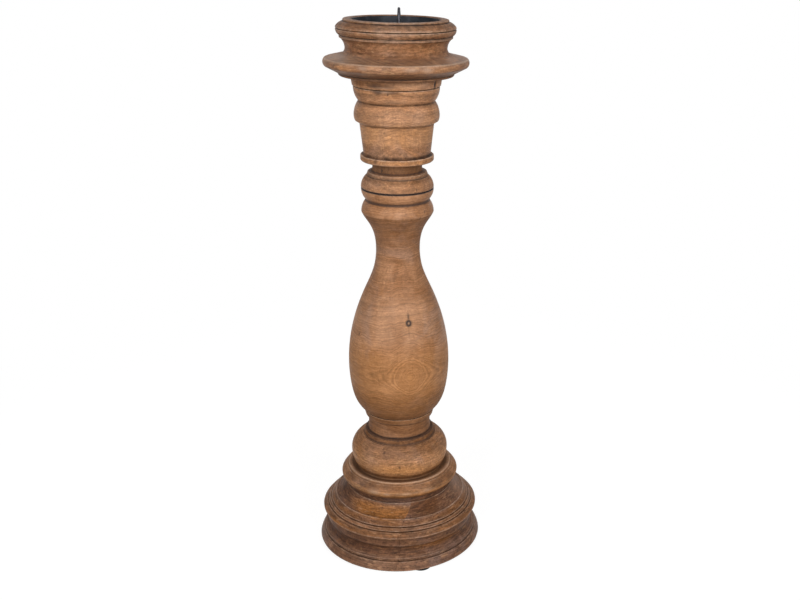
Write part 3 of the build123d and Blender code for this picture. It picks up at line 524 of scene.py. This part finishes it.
BASE_TONES = {
    "dark": (0.110, 0.050, 0.027, 1.0),
    "mid": (0.147, 0.070, 0.039, 1.0),
    "light": (0.190, 0.092, 0.049, 1.0),
    "grey": (0.162, 0.094, 0.071, 1.0),
    "warm": (0.240, 0.096, 0.027, 1.0),
    "rubbed_and_highlight": (0.430, 0.285, 0.205, 1.0),
    "fleck": (0.410, 0.228, 0.120, 1.0),
    "deep": (0.42, 0.35, 0.29, 1.0),
}
BEECH_TONES = {
    "dark": (0.380, 0.270, 0.160, 1.0),
    "mid": (0.500, 0.370, 0.230, 1.0),
    "light": (0.580, 0.440, 0.290, 1.0),
    "grey": (0.500, 0.400, 0.280, 1.0),
    "warm": (0.560, 0.400, 0.240, 1.0),
    "rubbed_and_highlight": (0.640, 0.500, 0.350, 1.0),
    "fleck": (0.640, 0.500, 0.350, 1.0),
    "deep": (0.60, 0.55, 0.50, 1.0),
}

BOARD_FIBRE = (0.35, 0.20, 1.0)
stem_looks = {
    "baluster": wood("baluster_wood", STEM_TONES, (9.8, 0.0, 166.4), figure=1.5, broad=0.35, grit=0.55,
                     ticking=0.3, scoring=0.7),
    "capital": wood("capital_wood", STEM_TONES, (0.5, 0.0, 333.0), patch=(0.2, 0.4, 0.1), figure=1.25,
                    grit=0.9, grime_and_shade=0.85),
    "candle_cup": wood("cup_wood", CUP_TONES, (-30.0, 0.0, 430.0), 22.0, fibre=(0.12, 0.7, 1.0), lay=-38.0,
                       patch=(0.6, 0.3, 0.2), figure=0.9, grit=1.15, ticking=1.2),
    "pedestal": wood("pedestal_wood", STEM_TONES, (30.0, 0.0, 84.0), patch=(0.3, 0.1, 0.5), figure=0.8,
                     grit=1.2, scoring=1.6, grime_and_shade=0.30),
}


def board_wood(name, eye):
    """The wood of one board of the base."""
    return wood(name, BASE_TONES, eye, 30.0, fibre=BOARD_FIBRE, patch=(0.1, 0.7, 0.4), figure=0.8, grit=1.55,
                scoring=1.9, grime_and_shade=0.60)


base_look = board_wood("base_wood_look", (-50.0, 0.0, 30.0))
side_look = board_wood("base_side_look", (40.0, 0.0, 10.0))
dowel_look = wood("dowel_beech", BEECH_TONES, (0.0, 0.0, 0.0), figure=0.6)
pan_look = coated("pan_paint", (0.010, 0.012, 0.016, 1.0), (0.026, 0.030, 0.038, 1.0),
                  rough_low=0.46, rough_high=0.62, metallic=0.0, scale=120.0, specular=0.2)
spike_look = coated("spike_metal", (0.020, 0.020, 0.024, 1.0), (0.044, 0.044, 0.050, 1.0),
                    rough_low=0.34, rough_high=0.50, metallic=1.0, scale=260.0)
glide_look = coated("glide_plastic", (0.004, 0.004, 0.004, 1.0), (0.010, 0.010, 0.011, 1.0),
                    rough_low=0.72, rough_high=0.85, metallic=0.0, scale=200.0, specular=0.15)
nail_look = coated("nail_metal", (0.30, 0.30, 0.31, 1.0), (0.42, 0.42, 0.44, 1.0),
                   rough_low=0.28, rough_high=0.40, metallic=1.0, scale=400.0)


def dress(node, look):
    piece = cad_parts[node]
    piece.data.materials.clear()
    piece.data.materials.append(look)


for node in ("foot_dowel", "stem_dowel", "capital_dowel", "cup_dowel"):
    dress(node, dowel_look)
for number in range(1, 5):
    dress("glide_%d" % number, glide_look)
dress("glide_nails", nail_look)
dress("drip_pan", pan_look)
dress("pricket_spike", spike_look)


# Knots, nicks, stains and rubbed places that the wood shows, with painted shade in hollows, under rings and
# on down-facing parts, and painted highlights, sheen and glints on edges and tops

MARKS = {
    "baluster": (
        # Painted shade on the collar, the down-facing low belly, under the top ring and on the shoulder.
        band(100.0, 122.0, 2.0, shade=0.45),
        band(100.0, 150.0, 24.0, shade=0.68),
        band(284.0, 293.4, 1.6, shade=0.60),
        band(262.0, 292.0, 16.0, shade=0.50),
        band(222.0, 276.0, 18.0, shade=0.22),
        band(103.0, 104.7, 0.6, stain=0.55),
        band(302.6, 305.0, 1.2, stain=0.75),
        band(312.1, 313.2, 0.6, stain=0.9),
        # Painted pinkish sheen on the upper belly; warm tone with a little painted shade on the lower belly.
        band(194.0, 226.0, 14.0, bloom=0.08, shade=0.10),
        band(126.0, 186.0, 24.0, warm=0.45, shade=0.13),
        ring_mark(-76.5, 209.8, 1.55, 1.75, 0.68, 0.25, stain=1.0),
        spot(-76.2, 210.1, 0.7, 0.8, bloom=0.55),
        spot(-76.5, 209.8, 3.2, 4.5, hard=1.0, warm=0.6),
        spot(-76.3, 214.6, 0.8, 3.2, 0.15, hard=1.0, stain=0.8),
        spot(-76.8, 203.0, 0.35, 4.5, stain=0.4),
        spot(-146.4, 196.4, 0.7, 1.3, 0.2, stain=0.7),
        spot(-41.9, 297.3, 0.6, 1.1, 0.2, stain=0.6),
        spot(-52.0, 293.0, 0.5, 1.4, 0.2, stain=0.5),
        spot(-76.4, 166.4, 9.0, 12.0, hard=1.0, warm=0.55),
        spot(-118.0, 180.0, 16.0, 9.0, hard=1.0, warm=0.45),
        # Painted highlight on the upper belly's left side.
        spot(-104.0, 203.0, 12.0, 14.0, hard=1.0, bloom=0.10),
    ),
    "capital": (
        # Painted shade in the neck under the flange and on the top of the knop.
        band(320.0, 327.0, 4.0, shade=0.52),
        band(313.5, 321.0, 3.0, shade=0.18),
        band(312.8, 313.9, 0.6, stain=0.9),
        band(326.2, 327.4, 0.6, stain=0.65),
        # Painted highlight on the knop's top ledge.
        band(324.3, 325.9, 0.7, bloom=0.14),
        band(323.0, 323.9, 0.5, stain=0.45),
        # Painted highlight on the neck.
        band(327.8, 333.5, 1.5, bloom=0.17),
        band(335.6, 339.2, 0.8, warm=0.45, shade=0.10),
        band(350.0, 364.0, 6.0, warm=0.42, bloom=0.08),
        # Painted shade on the lower drum, and a painted highlight on the ring.
        band(341.0, 349.0, 5.0, shade=0.24),
        band(366.0, 380.0, 6.0, bloom=0.06),
        spot(-33.0, 395.6, 1.5, 2.8, 0.6, stain=1.0),
        spot(-116.0, 395.6, 7.5, 1.8, hard=1.2, stain=0.60),
        spot(-101.0, 396.0, 5.0, 2.2, hard=1.2, stain=0.42),
        spot(-118.0, 396.6, 13.0, 2.6, hard=1.4, shade=0.55),
        spot(-142.0, 396.6, 9.0, 2.6, hard=1.4, shade=0.70),
        spot(-108.0, 394.6, 9.0, 0.7, hard=1.2, bloom=0.30),
        spot(-72.0, 396.4, 14.0, 2.4, hard=1.4, bloom=0.16),
        spot(-106.0, 391.4, 6.0, 0.9, hard=1.2, bloom=0.26),
        spot(-101.4, 389.7, 0.7, 0.7, 0.15, stain=0.85),
        spot(-115.4, 391.0, 4.0, 1.4, hard=1.2, stain=0.80),
        spot(-98.0, 391.0, 4.0, 1.2, hard=1.2, stain=0.40),
        spot(-124.6, 337.2, 1.8, 2.2, hard=1.2, stain=0.70),
        spot(-58.7, 316.1, 0.6, 1.2, 0.2, stain=0.7),
        spot(-127.7, 329.0, 0.9, 2.2, 0.2, stain=0.7),
        spot(-92.0, 384.0, 16.0, 2.2, hard=1.0, bloom=0.12),
    ),
    "candle_cup": (
        # Painted shade under the flange and round the cove and torus, and painted sheen on the flange top.
        band(400.0, 405.0, 3.0, shade=0.75),
        band(412.9, 416.5, 1.5, bloom=0.10),
        band(427.0, 441.0, 3.0, shade=0.14),
        band(425.0, 432.0, 2.0, shade=0.28),
        # Painted highlights on the flange edge.
        spot(-116.0, 410.6, 3.5, 1.6, hard=1.2, bloom=0.30),
        spot(-79.0, 410.6, 5.0, 1.8, hard=1.2, bloom=0.30),
        spot(-66.0, 409.8, 4.0, 2.0, hard=1.2, bloom=0.30),
        spot(-105.0, 408.6, 5.0, 1.0, hard=1.2, stain=0.35),
        # Painted highlights on the flange corner and the torus; painted shade under the torus and on the rim.
        band(412.3, 413.3, 0.6, bloom=0.30),
        band(427.9, 429.9, 0.8, bloom=0.12),
        band(432.6, 434.3, 0.8, bloom=0.04),
        band(430.0, 432.4, 1.2, shade=0.42),
        band(437.0, 442.2, 2.0, shade=0.36),
        spot(-126.0, 414.8, 0.8, 1.7, lean=-8.0, stain=0.40),
        spot(-121.0, 414.7, 0.7, 1.7, lean=-8.0, bloom=0.30),
        spot(-116.0, 414.8, 0.8, 1.8, lean=-8.0, stain=0.50),
        spot(-111.0, 414.6, 0.8, 1.7, lean=-7.8, bloom=0.34),
        spot(-107.0, 414.8, 0.8, 1.8, lean=-7.6, stain=0.48),
        spot(-103.0, 414.7, 0.7, 1.7, lean=-7.4, bloom=0.30),
        spot(-98.0, 414.6, 0.8, 1.7, lean=-7.0, stain=0.44),
        spot(-92.0, 414.7, 0.7, 1.6, lean=-6.5, bloom=0.24),
        spot(-86.0, 414.7, 0.8, 1.6, lean=-6.0, stain=0.34),
        spot(-75.0, 414.7, 0.8, 1.6, lean=-4.0, stain=0.26),
        spot(-119.0, 437.4, 5.0, 1.2, hard=1.2, stain=0.34),
        spot(-107.0, 436.8, 4.0, 1.0, hard=1.2, stain=0.28),
        spot(-135.0, 410.0, 8.0, 2.4, hard=1.2, warm=0.60),
        spot(-50.0, 410.0, 14.0, 2.4, hard=1.2, warm=0.75),
        spot(-62.0, 422.0, 16.0, 5.0, hard=1.2, warm=0.50),
        # Painted sheen on the flange top.
        spot(-160.0, 414.8, 22.0, 2.6, hard=1.5, bloom=0.30),
        spot(-138.0, 414.6, 20.0, 3.0, hard=1.4, bloom=0.30),
        spot(-38.0, 414.6, 18.0, 2.6, hard=1.2, bloom=0.16),
    ),
    "pedestal": (
        # Painted shade on the fillet, on the top of the torus under the collar, on the foot ring and below
        # it, with thin stain lines.
        band(99.3, 105.0, 1.0, shade=0.95),
        band(103.2, 104.7, 0.6, stain=0.55),
        band(99.5, 100.7, 0.6, stain=0.60),
        band(90.0, 103.0, 10.0, shade=0.55),
        band(58.0, 72.5, 3.0, shade=0.42),
        band(57.0, 62.4, 1.6, shade=0.88),
        # Warm painted light on the foot ring's lower half, and a painted highlight on its ridge edge.
        band(61.5, 66.0, 2.0, warm=0.50),
        band(70.9, 72.3, 0.7, bloom=0.30),
        # Warm painted highlights on the lower torus.
        spot(-90.0, 81.0, 40.0, 6.0, hard=1.0, warm=0.75),
        spot(-160.0, 84.0, 22.0, 9.0, hard=1.0, warm=0.75),
        spot(-20.0, 84.0, 22.0, 9.0, hard=1.0, warm=0.75),
        spot(-92.2, 103.4, 1.7, 0.9, hard=1.2, stain=0.75),
        spot(-110.3, 95.5, 1.2, 0.8, 0.15, stain=0.65),
        spot(-113.0, 97.5, 0.7, 0.7, 0.15, stain=0.5),
        spot(-90.1, 84.6, 0.7, 1.1, 0.2, stain=0.75),
        # Pale flecks on the foot ring, partly painted highlights.
        spot(-115.5, 64.8, 5.0, 1.8, hard=1.2, bloom=0.45),
        spot(-62.7, 65.0, 5.0, 1.6, hard=1.2, bloom=0.25),
        spot(-148.0, 68.0, 9.0, 3.2, hard=1.2, stain=0.40),
        spot(-127.0, 67.5, 10.0, 3.0, hard=1.2, stain=0.46),
        spot(-104.0, 68.5, 7.0, 2.0, hard=1.2, stain=0.34),
        spot(-94.0, 63.5, 6.0, 1.4, hard=1.2, stain=0.30),
        spot(-72.0, 68.5, 7.0, 1.8, hard=1.2, stain=0.32),
        spot(-48.0, 67.0, 8.0, 3.0, hard=1.2, stain=0.42),
        spot(-28.0, 67.0, 8.0, 3.0, hard=1.2, stain=0.36),
        spot(-103.0, 64.2, 3.0, 1.0, hard=1.2, bloom=0.40),
        spot(-84.0, 64.5, 4.0, 1.0, hard=1.2, bloom=0.34),
    ),
    "base_main_board": (
        # Painted shade in the cove, under the bead and on the neck under the foot ring; warm tone on the
        # bead.
        band(12.0, 30.0, 3.0, shade=0.30),
        band(15.5, 24.5, 3.0, shade=0.72),
        band(25.0, 31.0, 2.0, shade=0.42),
        band(30.5, 43.5, 3.0, warm=0.48, shade=0.16),
        band(53.6, 59.0, 2.0, shade=0.80),
        spot(-107.0, 47.5, 31.0, 5.0, hard=3.0, warm=0.90),
        # Painted shade on the far left of the dish, and a painted warm glint on the bead.
        spot(-168.0, 52.0, 20.0, 7.0, hard=1.4, shade=0.85),
        spot(-145.0, 32.5, 16.0, 3.5, hard=1.2, warm=0.95),
    ),
    "base_side_board": (
        # Painted shade in the cove, under the bead and on the neck under the foot ring; warm tone on the
        # bead.
        band(12.0, 30.0, 3.0, shade=0.30),
        band(15.5, 24.5, 3.0, shade=0.50),
        band(25.0, 31.0, 2.0, shade=0.42),
        band(30.5, 43.5, 3.0, warm=0.48, shade=0.16),
        band(53.6, 59.0, 2.0, shade=0.80),
        spot(-66.0, 50.0, 19.0, 6.5, hard=1.8, shade=0.88, warm=0.45),
        # Painted light on the right of the dish.
        spot(0.0, 46.0, 18.0, 5.5, hard=1.2, bloom=0.24),
        spot(-58.0, 21.0, 22.0, 4.0, hard=1.2, warm=0.85),
    ),
}


# Turned wooden pieces, from the floor up

TURNED_NODES = {
    "base": ("base_main_board", "base_side_board"),
    "pedestal": ("pedestal",),
    "baluster": ("baluster",),
    "capital": ("capital",),
    "candle_cup": ("candle_cup",),
}


def outlines():
    """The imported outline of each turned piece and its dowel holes, below and above."""
    found = {}
    for title, nodes in TURNED_NODES.items():
        points, pairs = node_points(*nodes)
        outer = trace(points, pairs)
        found[title] = (outer, bores(points, outer[0, 1], outer[-1, 1]))
    return found


packed = outlines()
worn = {title: worn_outline(packed[title][0]) for title in TURNED_NODES}
whole_stack = np.vstack([worn[title][0] for title in TURNED_NODES])
# Crisp dirt and painted shade in the grooves, and broad painted shade in the hollows and under overhangs,
# from balls rolled along the whole stack.
grooves = np.clip(cavity(whole_stack, GROOVE_BALL) / GROOVE_DEPTH, 0, 1)
shades = np.clip(cavity(whole_stack, SHADE_BALL) / SHADE_DEPTH, 0, 1)
ends = np.cumsum([len(worn[title][0]) for title in TURNED_NODES])
profiles = {}
for title, end in zip(TURNED_NODES, ends):
    points, edge = worn[title]
    span = slice(end - len(points), end)
    profiles[title] = (points, edge, grooves[span], shades[span])


def turned(name, title, seed, marks=()):
    """A turned piece on the outline of one node, with its dowel holes and, in the cup, its recess."""
    outer, (below, above) = packed[title]
    bottom, top = outer[0, 1], outer[-1, 1]
    before = [(0.0, below[1]), (below[0], below[1]), (below[0], bottom)] if below else [(0.0, bottom)]
    after = [(above[0], top), (above[0], above[1]), (0.0, above[1])] if above else [(0.0, top)]
    if title == "candle_cup":
        pocket_floor = CUP_RECESS_FLOOR - POCKET_DEPTH
        lip = outer[-1, 0] - CUP_RECESS_RADIUS
        after = [(CUP_RECESS_RADIUS, top - lip), (CUP_RECESS_RADIUS, CUP_RECESS_FLOOR),
                 (2 * POCKET_RADIUS, CUP_RECESS_FLOOR),
                 (POCKET_RADIUS, CUP_RECESS_FLOOR, POCKET_OFFSET),
                 (POCKET_RADIUS, pocket_floor, POCKET_OFFSET),
                 (0.0, pocket_floor, POCKET_OFFSET)]
    return lathe(name, before, profiles[title], after, seed, marks)


def place_piece(piece, node, look):
    piece.data.materials.append(look)
    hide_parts(node)
    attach(piece, "stand")


for seed, node in enumerate(("pedestal", "baluster", "capital", "candle_cup")):
    piece = turned(node + "_turned", node, 11 + seed, MARKS[node])
    place_piece(piece, node, stem_looks[node])


def board(name, main_side, marks):
    """One board of the base: the turned disc on one side of the glue seam."""
    across = Vector(SEAM_ACROSS)
    piece = turned(name, "base", 31, marks)
    shape = bmesh.new()
    shape.from_mesh(piece.data)
    everything = shape.verts[:] + shape.edges[:] + shape.faces[:]
    bmesh.ops.bisect_plane(shape, geom=everything, plane_co=across * SEAM_OFFSET * MM, plane_no=across,
                           clear_outer=main_side, clear_inner=not main_side)
    rim = [edge for edge in shape.edges if edge.is_boundary]
    fill = bmesh.ops.holes_fill(shape, edges=rim, sides=0)["faces"]
    bmesh.ops.triangulate(shape, faces=fill)
    bmesh.ops.recalc_face_normals(shape, faces=shape.faces[:])
    for face in shape.faces:
        face.smooth = abs(face.normal.dot(across)) < 0.9999
    shape.to_mesh(piece.data)
    shape.free()
    return piece


main_board = board("base_main_turned", True, MARKS["base_main_board"])
place_piece(main_board, "base_main_board", base_look)
side_board = board("base_side_turned", False, MARKS["base_side_board"])
place_piece(side_board, "base_side_board", side_look)


# Floor, light and camera

def floor_look():
    graph = Graph("floor_paper")
    path = graph.add("ShaderNodeLightPath")
    seen = graph.math("MAXIMUM", path.outputs["Is Camera Ray"], path.outputs["Is Glossy Ray"])
    seen = graph.math("MAXIMUM", seen, path.outputs["Is Transmission Ray"])
    place = graph.add("ShaderNodeTexCoord").outputs["Object"]
    away = graph.add("ShaderNodeVectorMath", {0: place}, operation="LENGTH").outputs["Value"]
    far = graph.span(away, 0.16, 0.60)
    paper = graph.noise(place, 900.0, 2.0)
    tone = graph.mix(graph.span(paper, 0.3, 0.7), (0.17, 0.17, 0.17, 1.0), (0.19, 0.19, 0.19, 1.0))
    near = graph.add("ShaderNodeBsdfDiffuse", {"Color": tone})
    glow_level = graph.math("MULTIPLY", seen, 0.90)
    glow = graph.add("ShaderNodeEmission", {"Color": WHITE, "Strength": glow_level})
    lit = graph.add("ShaderNodeAddShader", {0: near.outputs[0], 1: glow.outputs[0]})
    white = graph.add("ShaderNodeEmission", {"Color": WHITE, "Strength": 1.0})
    share = graph.math("MULTIPLY", far, seen)
    paper_shader = graph.add("ShaderNodeMixShader", {0: share, 1: lit.outputs[0], 2: white.outputs[0]})
    return graph.output(paper_shader.outputs[0])


FLOOR_RADIUS = 6.0
bpy.ops.mesh.primitive_circle_add(vertices=96, radius=FLOOR_RADIUS, fill_type="NGON")
floor = bpy.context.object
floor.name = "floor"
floor.data.materials.append(floor_look())


def softbox(name, place, target, width, height, power, colour):
    lamp = bpy.data.lights.new(name, "AREA")
    lamp.shape = "RECTANGLE"
    lamp.size, lamp.size_y = width, height
    lamp.energy = power
    lamp.color = colour
    stand = bpy.data.objects.new(name, lamp)
    stand.location = place
    stand.rotation_euler = (Vector(target) - Vector(place)).to_track_quat("-Z", "Y").to_euler()
    bpy.context.scene.collection.objects.link(stand)
    return stand


KEY_TARGET = (0.0, 0.0, 0.24)
KEY_POWER = 20.0
KEY_COLOUR = (1.0, 0.985, 0.97)
FILL_TARGET = (0.0, 0.0, 0.22)
FILL_POWER = 12.0
FILL_COLOUR = (1.0, 0.99, 0.98)
AMBIENT_LIGHT = 0.09

softbox("key_left", (-0.74, -1.36, 0.72), KEY_TARGET, 0.7, 0.8, KEY_POWER, KEY_COLOUR)
softbox("key_right", (0.80, -1.34, 0.72), KEY_TARGET, 0.7, 0.8, KEY_POWER, KEY_COLOUR)
back = softbox("fill_back", (0.15, 1.50, 1.00), FILL_TARGET, 1.2, 0.8, FILL_POWER, FILL_COLOUR)
back.visible_glossy = False

world = bpy.data.worlds.new("studio")
bpy.context.scene.world = world
world.use_nodes = True
sky = world.node_tree
sky.nodes.clear()
path = sky.nodes.new("ShaderNodeLightPath")
ambient = sky.nodes.new("ShaderNodeBackground")
ambient.inputs["Color"].default_value = WHITE
ambient.inputs["Strength"].default_value = AMBIENT_LIGHT
backdrop = sky.nodes.new("ShaderNodeBackground")
backdrop.inputs["Color"].default_value = WHITE
backdrop.inputs["Strength"].default_value = 1.0
chosen = sky.nodes.new("ShaderNodeMixShader")
result = sky.nodes.new("ShaderNodeOutputWorld")
seen = path.outputs["Is Camera Ray"]
for kind in ("Is Glossy Ray", "Is Transmission Ray"):
    either = sky.nodes.new("ShaderNodeMath")
    either.operation = "MAXIMUM"
    sky.links.new(seen, either.inputs[0])
    sky.links.new(path.outputs[kind], either.inputs[1])
    seen = either.outputs[0]
sky.links.new(seen, chosen.inputs[0])
sky.links.new(ambient.outputs[0], chosen.inputs[1])
sky.links.new(backdrop.outputs[0], chosen.inputs[2])
sky.links.new(chosen.outputs[0], result.inputs["Surface"])

CAMERA_PLACE = (0.0, -0.806465, 0.505186)
CAMERA_YAW = 0.09676
CAMERA_PITCH = 0.34164
CAMERA_ROLL = 0.02404
FOCAL_PIXELS = 1037.543
IMAGE_WIDTH = 800.0
OPTICAL_CENTRE_X = 493.224
SENSOR_WIDTH = 36.0

flat_reach = math.cos(CAMERA_PITCH)
forward = Vector((math.sin(CAMERA_YAW) * flat_reach, math.cos(CAMERA_YAW) * flat_reach,
                  -math.sin(CAMERA_PITCH)))
level = Vector((math.cos(CAMERA_YAW), -math.sin(CAMERA_YAW), 0.0))
upright = level.cross(forward)
right = math.cos(CAMERA_ROLL) * level + math.sin(CAMERA_ROLL) * upright
up = -math.sin(CAMERA_ROLL) * level + math.cos(CAMERA_ROLL) * upright
lens = bpy.data.cameras.new("camera")
lens.sensor_fit = "HORIZONTAL"
lens.sensor_width = SENSOR_WIDTH
lens.lens = FOCAL_PIXELS / IMAGE_WIDTH * SENSOR_WIDTH
lens.shift_x = (IMAGE_WIDTH / 2 - OPTICAL_CENTRE_X) / IMAGE_WIDTH
lens.clip_start = 0.01
camera = bpy.data.objects.new("camera", lens)
turn = Matrix((right, up, -forward)).transposed()
camera.matrix_world = Matrix.Translation(CAMERA_PLACE) @ turn.to_4x4()
bpy.context.scene.collection.objects.link(camera)
bpy.context.scene.camera = camera
bpy.context.scene.view_settings.view_transform = "Standard"

bpy.context.view_layer.update()
